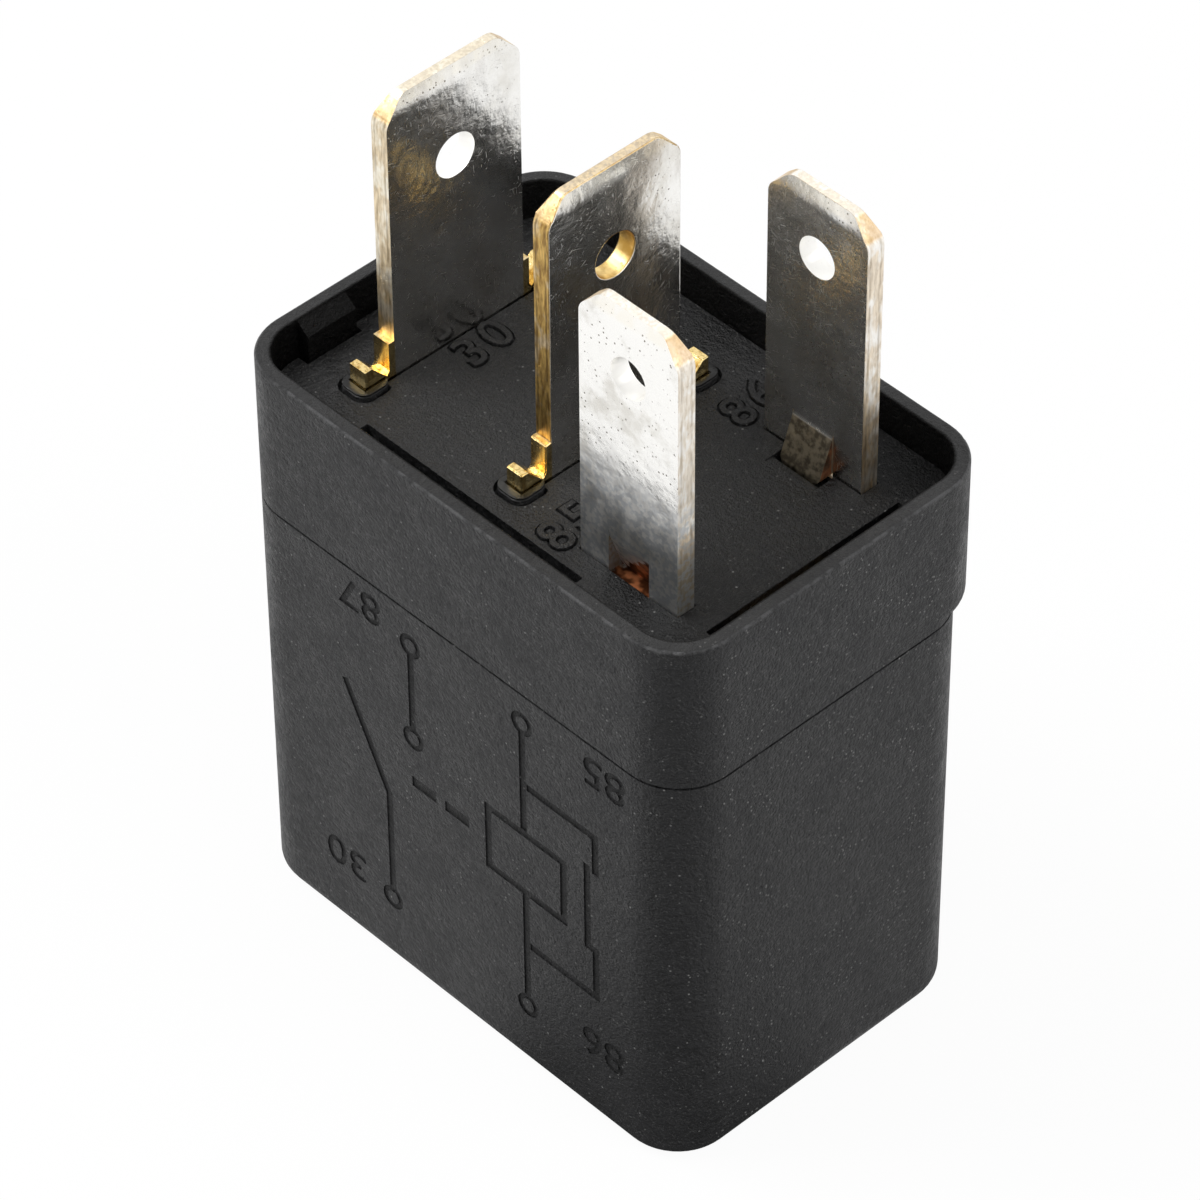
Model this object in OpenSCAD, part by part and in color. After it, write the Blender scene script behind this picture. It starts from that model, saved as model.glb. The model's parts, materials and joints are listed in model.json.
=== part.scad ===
// Plug-in relay with four blades, one normally open contact and a suppression resistor.
// It stands on the closed end of its cover with its blades up. The origin is at the middle
// of that end, +Z points to the blades and +X to the two coil blades.

/* [Cover] */
// Width of the cover at its collar
cover_w = 15.6; // [15.2:0.1:20]
// Height of the cover from its closed end to its rim
cover_h = 25.7; // [23.5:0.1:32]
// Radius of the cover's upright corners
corner_r = 2.35; // [1.5:0.05:3.5]
// Thickness of the cover's side walls
wall_t = 0.6; // [0.5:0.05:0.8]
// Thickness of the cover's closed end
end_t = 0.9; // [0.6:0.05:1]
// Radius of the edge round the closed end
end_r = 0.7; // [0.3:0.05:1.2]
// Height of the collar below the rim
collar_h = 6.6; // [4:0.1:9]
// How far the collar stands out on the rear side
collar_step = 0.6; // [0.3:0.05:0.7]
// Radius of the collar's lower edge on the rear side
collar_r = 0.6; // [0.3:0.05:1]
// Radius of the rim's inner edge
rim_r = 0.06; // [0.04:0.02:0.3]
// Radius of the rim's outer edge
rim_out_r = 0.14; // [0.04:0.02:0.25]
// Depth and height of the fine parting groove below the collar
groove = 0.1; // [0.05:0.01:0.2]
// Width of each snap lug inside the rim
lug_w = 2.3; // [1.5:0.1:3]
// How far a snap lug reaches in from the wall
lug_reach = 0.55; // [0.3:0.05:0.6]
// Distance of each snap lug from the middle of the wall
lug_y = 3.82; // [3:0.05:4.2]
// Width of each seat rib inside the cover
rib_w = 0.9; // [0.6:0.1:1.4]
// How far a seat rib reaches in from the wall
rib_reach = 0.45; // [0.3:0.05:0.6]
// Distance of the seat ribs from the cover's ends
rib_inset = 3; // [2.8:0.1:3.4]

/* [Base plate] */
// Thickness of the base plate
plate_t = 1.8; // [1.4:0.1:2.2]
// Depth of the base plate's face below the rim
plate_sink = 1.6; // [1:0.05:1.9]
// Clearance between the base plate and the cover
plate_gap = 0.07; // [0.04:0.01:0.15]
// Clearance at the base plate's latched edge
latch_gap = 0.15; // [0.1:0.05:0.3]
// Depth of the ledge that each snap lug holds
ledge_drop = 0.5; // [0.3:0.05:0.8]
// Start and end of the long edge's relief, from the middle of the plate
front_relief = [-6.4, 4.65];
// Depth of the long edge's relief
front_relief_d = 1.4; // [0.8:0.05:1.6]
// Length of the short edge's relief
side_relief_l = 9.4; // [6:0.1:10]
// Depth of the short edge's relief
side_relief_d = 1.3; // [0.6:0.05:1.5]
// Height of the raised pads round the load blades' feet
pad_h = 0.2; // [0.1:0.05:0.4]
// Margin of a pad round a foot
pad_margin = 0.3; // [0.2:0.05:0.4]
// Width of the groove round each pad
pad_groove = 0.14; // [0.08:0.01:0.2]

/* [Blades] */
// Thickness of the four blades
blade_t = 0.8; // [0.8:0.1:1]
// Height of the load blades above the base plate
load_blade_h = 12.3; // [10:0.1:14]
// Height of the coil blades above the base plate
coil_blade_h = 12.1; // [10:0.1:14]
// Width of the two load blades
load_w = 6.3; // [5.8:0.1:6.5]
// Width of the two coil blades
coil_w = 4.8; // [4.2:0.1:5]
// Distance of the first load blade from the cover's end
blade_30_inset = 3.5; // [3.3:0.05:6]
// Sideways offset of the first load blade from the others
blade_30_offset = -0.3; // [-0.4:0.05:0.3]
// Position of the second load blade along the relay
blade_87_x = -0.2; // [-0.5:0.05:0.5]
// Distance of the two coil blades from the cover's other end
coil_blade_inset = 5.6; // [5.3:0.05:8]
// Distance between the two coil blades
coil_pitch = 8.95; // [8.6:0.05:9.2]
// Sideways offset of the works from the middle of the cover
works_y = 0.15; // [0:0.05:0.3]
// Width and height of the chamfers at a blade's tip
tip_chamfer = 0.88; // [0.4:0.02:1.2]
// Height of the coined lead-in at a blade's tip
lead_in_h = 0.7; // [0.4:0.05:1]
// Thickness of a blade at its tip
tip_t = 0.4; // [0.3:0.05:0.6]
// Diameter of the detent hole in a load blade
load_hole_d = 1.85; // [1.2:0.05:2.2]
// Diameter of the detent hole in a coil blade
coil_hole_d = 1.7; // [1.2:0.05:2]
// Distance of a load blade's hole from its tip
load_hole_drop = 3.9; // [3:0.1:5]
// Distance of a coil blade's hole from its tip
coil_hole_drop = 2.75; // [2.4:0.1:4]
// Height of a load blade's shoulder above the base plate
shoulder_h = 1.65; // [1.2:0.05:2.5]
// How far the shoulder stands out past the blade's edge
shoulder_out = 0.27; // [0.1:0.01:0.4]
// Height of the foot's prongs above the base plate
prong_h = 0.97; // [0.6:0.01:1.1]
// Distance of a prong's outer edge from the blade's middle
prong_out = 4.58; // [4.4:0.02:4.7]
// Width of a prong's flat top
prong_w = 0.34; // [0.2:0.02:0.5]
// Width of the coil blades' bent-out tongue
lance_w = 2; // [1.4:0.1:2.4]
// Height of the tongue's root above the base plate
lance_h = 1.8; // [1.4:0.05:2.2]
// Tilt of the tongue out of the blade
lance_tilt = 20; // [8:1:24]
// Inner radius of the tongue's bend
lance_r = 0.5; // [0.3:0.05:0.9]

/* [Magnet] */
// Diameter of the core
core_d = 4; // [3.4:0.1:4.4]
// Diameter of the pole head
pole_d = 6.4; // [5.4:0.1:7]
// Thickness of the pole head
pole_t = 0.8; // [0.6:0.1:1]
// Diameter of the core's staked end
stake_d = 2.6; // [2:0.1:3]
// Room below the pole head, where the armature swings
armature_room = 4.13; // [4:0.01:4.6]
// Diameter of the bobbin's flanges
flange_d = 10.8; // [10.2:0.1:11.6]
// How far the flanges stand out past the winding
winding_inset = 0.5; // [0.3:0.05:1]
// Thickness of the bobbin's flanges
flange_t = 0.8; // [0.6:0.05:0.9]
// Wall of the bobbin's tube
tube_t = 0.5; // [0.4:0.05:0.7]
// Thickness of the yoke
yoke_t = 1.2; // [1:0.05:1.3]
// Width of the yoke
yoke_w = 9.6; // [8:0.1:10]
// Thickness of the armature
armature_t = 1.2; // [0.9:0.05:1.4]
// Width of the armature
armature_w = 8.4; // [7.6:0.1:9]
// Opening angle of the armature at rest
open_angle = 3; // [2:0.1:3.2]
// Air gap that stays between the pole and the drawn armature
residual_gap = 0.07; // [0.04:0.01:0.1]

/* [Contacts] */
// Thickness of the contact spring
spring_t = 0.25; // [0.15:0.01:0.3]
// Width of the contact spring
spring_w = 5; // [4.4:0.1:5.4]
// Bend radius of the contact spring at the hinge
spring_r = 1.3; // [1.28:0.01:1.4]
// Distance of the contact pair from the cover's end
contact_inset = 4; // [3.8:0.05:4.6]
// Diameter of the contact heads
contact_d = 2.6; // [2:0.1:3]
// Height of each contact head
contact_h = 0.6; // [0.4:0.05:0.8]
// Gap that the drawn contacts keep in this rigid model
touch_gap = 0.03; // [0.02:0.01:0.05]
// Width of the load strip inside the relay
strip_w = 4; // [3:0.1:4.6]

/* [Suppression] */
// Diameter of the resistor's body
resistor_d = 1.9; // [1.4:0.1:2]
// Length of the resistor's body
resistor_l = 4.4; // [3.4:0.1:5]
// Diameter of the resistor's leads
lead_d = 0.5; // [0.4:0.05:0.6]
// Diameter of the coil's wire ends
wire_d = 0.3; // [0.2:0.02:0.4]

/* [Hidden] */
$fn = 48;

far = 100;                                  // longer than any cut needs
over = 1;                                   // how far a cut runs past its piece
lap = 0.1;                                  // how far joined shapes run into each other
fit = 0.02;                                 // clearance of seated pieces
slot_gap = 0.05;                            // clearance of a blade in its slot

// cover; its length follows from the works and the room at its ends
yoke_gap = 0.25;                            // from the yoke to the bobbin's flanges
resistor_gap = 0.3;                         // from the flanges to the resistor
blade_span = blade_t / 2 + yoke_t + yoke_gap + flange_d + resistor_gap + resistor_d / 2;
cover_l = blade_30_inset + blade_span + coil_blade_inset;
cav_l = cover_l - 2 * wall_t;               // inside of the collar
cav_w = cover_w - 2 * wall_t;
cav_r = corner_r - wall_t;
collar_z = cover_h - collar_h;
body_w = cover_w - collar_step;             // below the collar
body_y = -collar_step / 2;
cav_body_w = body_w - 2 * wall_t;
lug_slope_h = 0.45;                         // height of a lug's lead-in

// base plate
plate_z = cover_h - plate_sink;             // upper face
plate_z0 = plate_z - plate_t;               // lower face
plate_x0 = -cav_l / 2 + latch_gap;
plate_x1 = cav_l / 2 - plate_gap;
plate_y1 = cav_w / 2 - plate_gap;
plate_r = cav_r - plate_gap;
foot_depth = 1;
foot_z = plate_z - foot_depth;              // seat of the blades' feet
pad_root = 0.5;                             // where the pads start inside the plate
pad_groove_depth = 0.35;
pad_end_gap = 0.1;
pad_r = 0.45;
lug_window_d = 0.5;                         // cut-back round a lug
lug_window_gap = 0.15;

// blades
blade_30_x = -cover_l / 2 + blade_30_inset;
blade_30_y = works_y + blade_30_offset;
coil_blade_x = blade_30_x + blade_span;
load_tip_z = plate_z + load_blade_h;
coil_tip_z = plate_z + coil_blade_h;
load_hole_z = load_tip_z - load_hole_drop;
coil_hole_z = coil_tip_z - coil_hole_drop;
leg_w = 5;                                  // inner leg of the first load blade
stake_w = 2.4;                              // staked end of the second load blade
pin_w = 1.4;                                // inner pin of a coil blade
pin_l = 5.4;
pin_z = plate_z0 - pin_l;
prong_root = [0.12, 0.22];                  // foot of a prong, out from the shoulder and up
shoulder_low = 0.4;                         // lower end of the shoulder's edge
lance_sink = 0.25;                          // how far the tongue ends below the plate's face
lance_z = plate_z - lance_sink;             // its lower end
lance_end_r = 0.4;                          // radius of its lower corners
pocket_depth = 0.55;
pocket_gap = 0.15;
pocket_reach = 1.2;

// load strip, under the plate and down the end wall
strip_z1 = plate_z0 - fit;
strip_gap = 0.45;                           // insulating gap to the yoke
strip_wall_gap = 0.15;
strip_lip = 1.2;                            // how far it runs past the staked blade
strip_x0 = blade_87_x - blade_t / 2 - strip_lip;
strip_x1 = cav_l / 2 - strip_wall_gap;
strip_bend_r = 1.2;

// magnet
pole_z = end_t + armature_room;             // pole face
yoke_z1 = strip_z1 - blade_t - strip_gap;
yoke_x0 = blade_30_x + blade_t / 2;         // outer face, on the blade's leg
yoke_x1 = yoke_x0 + yoke_t;
yoke_lip = 1.6;                             // iron left past the core's staked end
bobbin_z1 = yoke_z1 - yoke_t;
bobbin_z0 = pole_z + pole_t;
coil_l = bobbin_z1 - bobbin_z0 - 2 * flange_t;
coil_d = flange_d - 2 * winding_inset;
core_x = yoke_x1 + yoke_gap + flange_d / 2;
yoke_z0 = pole_z - residual_gap + fit;      // knife edge
bore_d = core_d + 2 * slot_gap;
tab_margin = 0.5;                           // round the coil pins
tube_d = bore_d + 2 * tube_t;

// armature, described where it is drawn against the pole, then opened about the knife edge
pivot = [yoke_x0, 0, yoke_z0];
arm_z1 = pole_z - residual_gap;
arm_z0 = arm_z1 - armature_t;
arm_gap = 0.05;
arm_x0 = yoke_x0 + arm_gap;
knife_t = 0.36;                             // flat that is left above its bevelled end
arm_rivet_inset = 1.5;
arm_rivet_x = yoke_x1 + arm_rivet_inset;
arm_rivet_y = 2.4;
rivet_r = 0.6;
rivet_head_r = 1;
rivet_head_h = 0.35;
contact_x = cover_l / 2 - contact_inset;
spring_margin = 0.15;
spring_x1 = contact_x + contact_d / 2 + spring_margin;
spring_neck_w = 3.6;
spring_leg_l = 6.5;
spring_top_z = pole_z + spring_leg_l;
spring_rivet_drop = 2.2;
rivet_spring_z = spring_top_z - spring_rivet_drop;
bend_x = yoke_x0 - fit - spring_t / 2 + spring_r;   // centre of the spring's bend
bend_z = yoke_z0 + (spring_r - (yoke_z0 - arm_z0) - fit - spring_t / 2
                    - sin(open_angle) * (bend_x - yoke_x0)) / cos(open_angle);
run_x0 = yoke_x0 + cos(open_angle) * (bend_x - yoke_x0) - sin(open_angle) * (bend_z - yoke_z0);
leg_gap = 1.5;                              // from the spring's leg to the blade's leg
leg_end_z = spring_top_z + leg_gap;
leg_rivet_rise = 2.5;
rivet_leg_z = leg_end_z + leg_rivet_rise;
rivet_leg_y = 1.5;

// contacts
moving_z1 = arm_z0 + contact_h;             // top of the moving head, drawn
fixed_z0 = moving_z1 + touch_gap;           // face of the fixed head
strip_z0 = fixed_z0 + contact_h;            // lower face of the strip's end
strip_margin = 0.25;
strip_end_x = contact_x - contact_d / 2 - strip_margin;
stem_r = 0.6;
stem_head_out = 0.35;
stem_head_h = 0.3;

// stirrup that stops the spring
stop_gap = 2;                               // from the stirrup to the strip's end
stop_x = strip_end_x - stop_gap;
stop_t = 0.8;
stop_clear = 0.04;                          // from its bar to the open spring
stop_z1 = yoke_z0 - sin(open_angle) * (stop_x + stop_t - yoke_x0)
        - cos(open_angle) * (yoke_z0 - arm_z0 + spring_t + fit) - stop_clear;
stop_bar_h = 0.9;
stop_side_gap = 0.35;
stop_leg_y = spring_w / 2 + stop_side_gap;
arm_end_gap = 0.95;                         // from the armature's end to the stirrup
arm_x1 = stop_x - arm_end_gap;
neck_inset = 0.6;
spring_neck_x = arm_x1 + neck_inset;

// suppression
resistor_rise = 0.6;
resistor_z = pin_z + resistor_rise;
resistor_cap_l = 1;
resistor_neck = 0.13;                       // how far its middle lies inside its ends
pin_face_y = coil_pitch / 2 - blade_t / 2;
wire_start_a = 50;                          // where a wire end leaves the winding
wire_drop = 0.6;
wire_end_gap = 0.12;
works = [0, works_y, 0];

plastic = [0.16, 0.16, 0.17];
tin = [0.72, 0.71, 0.68];
brass = [0.80, 0.62, 0.28];
copper = [0.72, 0.38, 0.20];
iron = [0.45, 0.46, 0.48];
silver = [0.88, 0.88, 0.86];
nylon = [0.82, 0.80, 0.72];

// ---- shared shapes ----

module rounded_rect(l, w, r) {
    square([l - 2 * r, w], center = true);
    square([l, w - 2 * r], center = true);
    for (sx = [-1, 1], sy = [-1, 1])
        translate([sx * (l / 2 - r), sy * (w / 2 - r)])
            circle(r);
}

// outline of a block's side; e rounds its two lower corners and u its two upper ones
module block_side(l, h, e, u) {
    translate([-l / 2, e])
        square([l, h - e - u]);
    translate([-l / 2 + e, 0])
        square([l - 2 * e, h - u]);
    translate([-l / 2 + u, e])
        square([l - 2 * u, h - e]);
    for (s = [-1, 1]) {
        translate([s * (l / 2 - e), e])
            circle(e);
        translate([s * (l / 2 - u), h - u])
            circle(u);
    }
}

// block with upright corners of radius r, a lower edge of radius e and an upper one of radius u
module rounded_block(l, w, h, r, e, u) {
    rotate([90, 0, 0])
        linear_extrude(w - 2 * r, center = true)
            block_side(l, h, e, u);
    rotate([90, 0, 90])
        linear_extrude(l - 2 * r, center = true)
            block_side(w, h, e, u);
    for (sx = [-1, 1], sy = [-1, 1])
        translate([sx * (l / 2 - r), sy * (w / 2 - r), 0])
            rotate_extrude()
                intersection() {
                    block_side(2 * r, h, e, u);
                    square([r, h]);
                }
}

// what rounds the upper inner edge of a wall, round an opening l by w
module inner_edge_cut(l, w, r, e) {
    for (s = [-1, 1]) {
        rotate([90, 0, 0])
            linear_extrude(w - 2 * r, center = true)
                translate([s * l / 2, 0])
                    edge_fillet(s, e);
        rotate([90, 0, 90])
            linear_extrude(l - 2 * r, center = true)
                translate([s * w / 2, 0])
                    edge_fillet(s, e);
    }
    for (sx = [-1, 1], sy = [-1, 1])
        translate([sx * (l / 2 - r), sy * (w / 2 - r), 0])
            rotate_extrude()
                translate([r, 0])
                    edge_fillet(1, e);
}

module edge_fillet(side, e) {
    difference() {
        translate([side > 0 ? -fit : -e, -e])
            square([e + fit, e + fit]);
        translate([side * e, -e])
            circle(e);
    }
}

// turns what is modelled drawn against the pole to where it lies at rest
module at_rest() {
    translate(pivot + works)
        rotate([0, open_angle, 0])
            translate(-pivot)
                children();
}

// ---- blades ----

// chamfered end of a blade of width w that ends at height z
function tip_points(w, z) = [
    [w / 2, z - tip_chamfer],
    [w / 2 - tip_chamfer, z],
    [-w / 2 + tip_chamfer, z],
    [-w / 2, z - tip_chamfer]];

// wedge taken off each face to leave the coined lead-in
module lead_in_cuts(w, z) {
    for (s = [-1, 1])
        rotate([90, 0, 90])
            linear_extrude(w + over, center = true)
                polygon([[s * blade_t / 2, z - lead_in_h],
                         [s * tip_t / 2, z],
                         [s * tip_t / 2, z + over],
                         [s * (blade_t / 2 + over), z + over],
                         [s * (blade_t / 2 + over), z - lead_in_h]]);
}

// load blade across the relay with its foot; the leg below goes down to z0
module load_blade(inner_w, z0) {
    sh = load_w / 2 + shoulder_out;
    right = [[inner_w / 2, z0], [inner_w / 2, foot_z], [prong_out, foot_z],
             [prong_out, plate_z + prong_h], [prong_out - prong_w, plate_z + prong_h],
             [sh + prong_root[0], plate_z + prong_root[1]], [sh, plate_z + shoulder_low],
             [sh, plate_z + shoulder_h], [load_w / 2, plate_z + shoulder_h]];
    left = [for (i = [len(right) - 1:-1:0]) [-right[i][0], right[i][1]]];
    difference() {
        rotate([90, 0, 90])
            linear_extrude(blade_t, center = true)
                polygon(concat(right, tip_points(load_w, load_tip_z), left));
        rotate([0, 0, 90])
            lead_in_cuts(load_w, load_tip_z);
        translate([0, 0, load_hole_z])
            rotate([0, 90, 0])
                cylinder(h = blade_t + over, d = load_hole_d, center = true);
    }
}

// coil blade along the relay; its tongue bends towards +Y
module coil_blade() {
    difference() {
        rotate([90, 0, 0])
            linear_extrude(blade_t, center = true)
                difference() {
                    polygon(concat([[coil_w / 2, foot_z]], tip_points(coil_w, coil_tip_z),
                                   [[-coil_w / 2, foot_z], [-pin_w / 2, foot_z], [-pin_w / 2, pin_z],
                                    [pin_w / 2, pin_z], [pin_w / 2, foot_z]]));
                    translate([-lance_w / 2, lance_z])
                        square([lance_w, plate_z + lance_h - lance_z]);
                    translate([0, coil_hole_z])
                        circle(d = coil_hole_d);
                }
        lead_in_cuts(coil_w, coil_tip_z);
    }
    tongue();
}

// tongue between two arcs of one bend, then straight down to its rounded end
module tongue() {
    bend_y = blade_t / 2 + lance_r;             // centre of the bend
    l = plate_z + lance_h - lance_z;
    intersection() {
        rotate([90, 0, 90])
            linear_extrude(lance_w - 2 * fit, center = true)
                translate([bend_y, plate_z + lance_h]) {
                    intersection() {
                        difference() {
                            circle(lance_r + blade_t);
                            circle(lance_r);
                        }
                        polygon([[0, 0], [-far, 0], [-far * cos(lance_tilt), -far * sin(lance_tilt)]]);
                    }
                    rotate(lance_tilt)
                        translate([-lance_r - blade_t, -l])
                            square([blade_t, l]);
                    translate([-lance_r - blade_t, 0])
                        square([blade_t, lap]);
                }
        rotate([90, 0, 0])
            linear_extrude(far, center = true)
                union() {
                    translate([-lance_w / 2, lance_z + lance_end_r])
                        square([lance_w, l]);
                    translate([-lance_w / 2 + lance_end_r, lance_z])
                        square([lance_w - 2 * lance_end_r, l]);
                    for (s = [-1, 1])
                        translate([s * (lance_w / 2 - lance_end_r), lance_z + lance_end_r])
                            circle(lance_end_r);
                }
    }
}

// ---- pieces ----

module cover() {
    color(plastic) {
        difference() {
            union() {
                translate([0, 0, collar_z])
                    rounded_block(cover_l, cover_w, collar_h, corner_r, collar_r, rim_out_r);
                translate([0, body_y, 0])
                    rounded_block(cover_l, body_w, cover_h, corner_r, end_r, rim_out_r);
            }
            translate([0, 0, collar_z + wall_t])
                linear_extrude(far)
                    rounded_rect(cav_l, cav_w, cav_r);
            translate([0, body_y, end_t])
                linear_extrude(far)
                    rounded_rect(cav_l, cav_body_w, cav_r);
            translate([0, 0, cover_h])
                inner_edge_cut(cav_l, cav_w, cav_r, rim_r);
            translate([0, 0, collar_z])
                linear_extrude(groove)
                    difference() {
                        square([2 * cover_l, 2 * cover_w], center = true);
                        translate([0, body_y])
                            rounded_rect(cover_l - 2 * groove, body_w - 2 * groove,
                                         corner_r - groove);
                        translate([-cover_l, cover_w / 2 - collar_step - 2 * groove])
                            square([2 * cover_l, cover_w]);
                    }
        }
        for (s = [-1, 1])
            translate([0, s * lug_y, 0])
                snap_lug();
        for (sx = [-1, 1])
            seat_ribs(sx * (cover_l / 2 - rib_inset));
    }
}

// lug that holds the base plate's ledge
module snap_lug() {
    x0 = -cav_l / 2;
    rotate([90, 0, 0])
        linear_extrude(lug_w, center = true)
            polygon([[x0 - wall_t / 2, cover_h - rim_r],
                     [x0, cover_h - rim_r],
                     [x0 + lug_reach, cover_h - rim_r - lug_slope_h],
                     [x0 + lug_reach, plate_z - ledge_drop + slot_gap],
                     [x0 - wall_t / 2, plate_z - ledge_drop + slot_gap]]);
}

// pair of ribs that carry the base plate
module seat_ribs(x) {
    for (s = [-1, 1])
        translate([x - rib_w / 2, s > 0 ? cav_w / 2 - rib_reach : -cav_w / 2 - wall_t / 2,
                   s > 0 ? collar_z : end_t / 2])
            cube([rib_w, rib_reach + wall_t / 2, plate_z0 - (s > 0 ? collar_z : end_t / 2)]);
}

module base_plate() {
    pad_l = blade_t + 2 * pad_margin;
    pad_y0 = load_w / 2 + shoulder_out + pad_end_gap;
    pad_y1 = prong_out + pad_margin + pad_end_gap;
    color(plastic)
        difference() {
            union() {
                translate([(plate_x0 + plate_x1) / 2, 0, plate_z0])
                    linear_extrude(plate_t)
                        rounded_rect(plate_x1 - plate_x0, 2 * plate_y1, plate_r);
                for_load_feet()
                    translate([0, (pad_y0 + pad_y1) / 2, plate_z - pad_root])
                        linear_extrude(pad_root + pad_h)
                            rounded_rect(pad_l, pad_y1 - pad_y0, pad_r);
            }
            for_load_feet()
                translate([0, (pad_y0 + pad_y1) / 2, plate_z - pad_groove_depth])
                    linear_extrude(pad_groove_depth + fit)
                        difference() {
                            rounded_rect(pad_l + 2 * pad_groove, pad_y1 - pad_y0 + 2 * pad_groove,
                                         pad_r + pad_groove);
                            rounded_rect(pad_l, pad_y1 - pad_y0, pad_r);
                            translate([-pad_l, -far - (pad_y1 - pad_y0) / 2 + pad_groove])
                                square([2 * pad_l, far]);
                        }
            for (s = [-1, 1])
                lug_window(s);
            edge_reliefs();
            load_slot(blade_30_x, blade_30_y, leg_w);
            load_slot(blade_87_x, works_y, stake_w);
            for (s = [-1, 1])
                coil_slot(s);
        }
}

// places children at each end of both load blades' feet
module for_load_feet() {
    for (p = [[blade_30_x, blade_30_y], [blade_87_x, works_y]], s = [0, 1])
        translate([p[0], p[1], 0])
            mirror([0, s, 0])
                children();
}

// cut-back round a snap lug, which leaves the ledge that it holds
module lug_window(s) {
    translate([plate_x0 - over, s * lug_y - lug_w / 2 - lug_window_gap, plate_z - ledge_drop])
        cube([over + lug_window_d, lug_w + 2 * lug_window_gap, far]);
}

// reliefs along one long edge and one short edge
module edge_reliefs() {
    translate([front_relief[0], -plate_y1 - over, plate_z0 - over])
        cube([front_relief[1] - front_relief[0], over + front_relief_d, far]);
    translate([plate_x1 - side_relief_d, works_y - side_relief_l / 2, plate_z0 - over])
        cube([far, side_relief_l, far]);
}

module load_slot(x, y, inner_w) {
    t = blade_t + 2 * slot_gap;
    translate([x - t / 2, y - prong_out - slot_gap, foot_z])
        cube([t, 2 * (prong_out + slot_gap), far]);
    translate([x - t / 2, y - inner_w / 2 - slot_gap, plate_z0 - over])
        cube([t, inner_w + 2 * slot_gap, far]);
}

module coil_slot(s) {
    t = blade_t + 2 * slot_gap;
    y = works_y + s * coil_pitch / 2;
    translate([coil_blade_x - coil_w / 2 - slot_gap, y - t / 2, foot_z])
        cube([coil_w + 2 * slot_gap, t, far]);
    translate([coil_blade_x - pin_w / 2 - slot_gap, y - t / 2, plate_z0 - over])
        cube([pin_w + 2 * slot_gap, t, far]);
    // pocket that the tongue reaches into
    translate([coil_blade_x - lance_w / 2 - pocket_gap,
               s > 0 ? y - blade_t / 2 - pocket_reach : y - blade_t / 2, plate_z - pocket_depth])
        cube([lance_w + 2 * pocket_gap, blade_t + pocket_reach, far]);
}

module terminal_30() {
    color(tin)
        difference() {
            translate([blade_30_x, blade_30_y, 0])
                load_blade(leg_w, leg_end_z);
            for (s = [-1, 1])
                translate([blade_30_x, works_y + s * rivet_leg_y, rivet_leg_z])
                    rotate([0, 90, 0])
                        cylinder(h = 2 * blade_t, r = rivet_r + fit, center = true);
        }
}

module terminal_87() {
    color(tin)
        translate([blade_87_x, works_y, 0])
            load_blade(stake_w, strip_z1 - blade_t);
}

module load_strip() {
    color(tin)
        translate(works)
            difference() {
                rotate([90, 0, 0])
                    linear_extrude(strip_w, center = true)
                        strip_side();
                translate([contact_x, 0, strip_z0 - over])
                    cylinder(h = blade_t + 2 * over, r = stem_r + fit);
                translate([blade_87_x, 0, strip_z1])
                    cube([blade_t + 2 * fit, stake_w + 2 * fit, 3 * blade_t], center = true);
            }
}

// bent strip, seen from the side
module strip_side() {
    h = strip_z1 - strip_z0;
    l = 2 * (strip_x1 - strip_x0);
    translate([strip_x1 - l / 2, strip_z0 + h / 2])
        difference() {
            rounded_rect(l, h, strip_bend_r);
            rounded_rect(l - 2 * blade_t, h - 2 * blade_t, strip_bend_r - blade_t);
            translate([-far, 0])
                square([far, far]);
            translate([strip_end_x - strip_x0 - far, -h])
                square([far, h]);
        }
}

module terminal_85() {
    color(tin)
        translate([coil_blade_x, works_y - coil_pitch / 2, 0])
            coil_blade();
}

module terminal_86() {
    color(tin)
        translate([coil_blade_x, works_y + coil_pitch / 2, 0])
            mirror([0, 1, 0])
                coil_blade();
}

module yoke() {
    l = core_x + stake_d / 2 + yoke_lip - yoke_x0;
    h = yoke_z1 - yoke_z0;
    color(iron)
        translate(works)
        difference() {
            rotate([90, 0, 0])
                linear_extrude(yoke_w, center = true)
                    difference() {
                        union() {
                            translate([yoke_x0 + yoke_t, yoke_z1 - yoke_t])
                                circle(yoke_t);
                            translate([yoke_x0, yoke_z0])
                                square([yoke_t, h - yoke_t]);
                            translate([yoke_x0 + yoke_t, yoke_z1 - yoke_t])
                                square([l - yoke_t, yoke_t]);
                        }
                        translate([yoke_x1, yoke_z0])
                            square([l, h - yoke_t]);
                    }
            translate([core_x, 0, 0])
                cylinder(h = far, d = stake_d + 2 * fit);
            for (s = [-1, 1]) {
                translate([yoke_x0 - over, s * arm_rivet_y, rivet_spring_z])
                    rotate([0, 90, 0])
                        cylinder(h = yoke_t + 2 * over, r = rivet_r + fit);
                translate([yoke_x0 - over, s * rivet_leg_y, rivet_leg_z])
                    rotate([0, 90, 0])
                        cylinder(h = yoke_t + 2 * over, r = rivet_r + fit);
            }
        }
}

module core() {
    color(iron)
        translate([core_x, works_y, 0]) {
            translate([0, 0, pole_z])
                cylinder(h = pole_t, d = pole_d);
            translate([0, 0, pole_z])
                cylinder(h = bobbin_z1 - pole_z, d = core_d);
            translate([0, 0, pole_z])
                cylinder(h = yoke_z1 - pole_z, d = stake_d);
        }
}

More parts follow.
